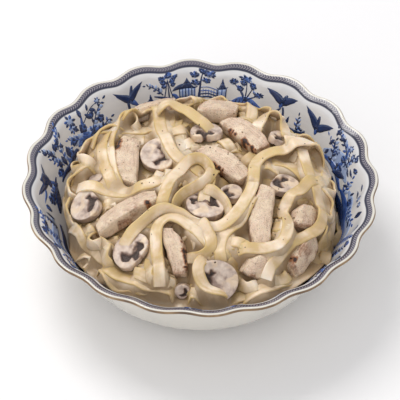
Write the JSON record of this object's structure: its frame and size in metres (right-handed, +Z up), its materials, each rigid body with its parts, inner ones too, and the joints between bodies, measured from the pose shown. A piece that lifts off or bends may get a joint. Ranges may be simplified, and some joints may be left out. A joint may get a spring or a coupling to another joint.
{
  "type": "bowl of fettuccine alfredo",
  "caption": "Fettuccine in cream sauce with grilled chicken and sliced mushrooms, heaped in a scalloped blue-and-white bowl on a foot ring.",
  "frame": {"origin": "centre of the plane that the foot ring rests on", "axes": "+Z up out of the bowl; -Y is the side the dish is seen from, +X is to the viewer's right"},
  "size_m": [0.2328, 0.2328, 0.0837],
  "materials": {
    "glazed_china": "glossy clear glaze",
    "pasta_in_cream": "soft satin, coated in cream sauce",
    "chicken": "matte, seared at the edges",
    "mushroom": "moist satin"
  },
  "bodies": {
    "root": {"bowl": "glazed_china", "fettuccine": "pasta_in_cream", "chicken_upright_left": "chicken", "chicken_long_left": "chicken", "chicken_front_middle": "chicken", "chicken_grilled_centre": "chicken", "chicken_grilled_back": "chicken", "chicken_upright_right": "chicken", "chicken_chunk_right": "chicken", "chicken_chunk_edge": "chicken", "chicken_chunk_front": "chicken", "chicken_chunk_back": "chicken", "chicken_strip_back": "chicken", "mushroom_upright_left": "mushroom", "mushroom_middle": "mushroom", "mushroom_small_middle": "mushroom", "mushroom_back": "mushroom", "mushroom_right": "mushroom", "mushroom_back_right": "mushroom", "mushroom_left": "mushroom", "mushroom_front_left": "mushroom", "mushroom_front": "mushroom", "mushroom_small_left": "mushroom", "mushroom_small_front": "mushroom"}
  },
  "joints": []
}
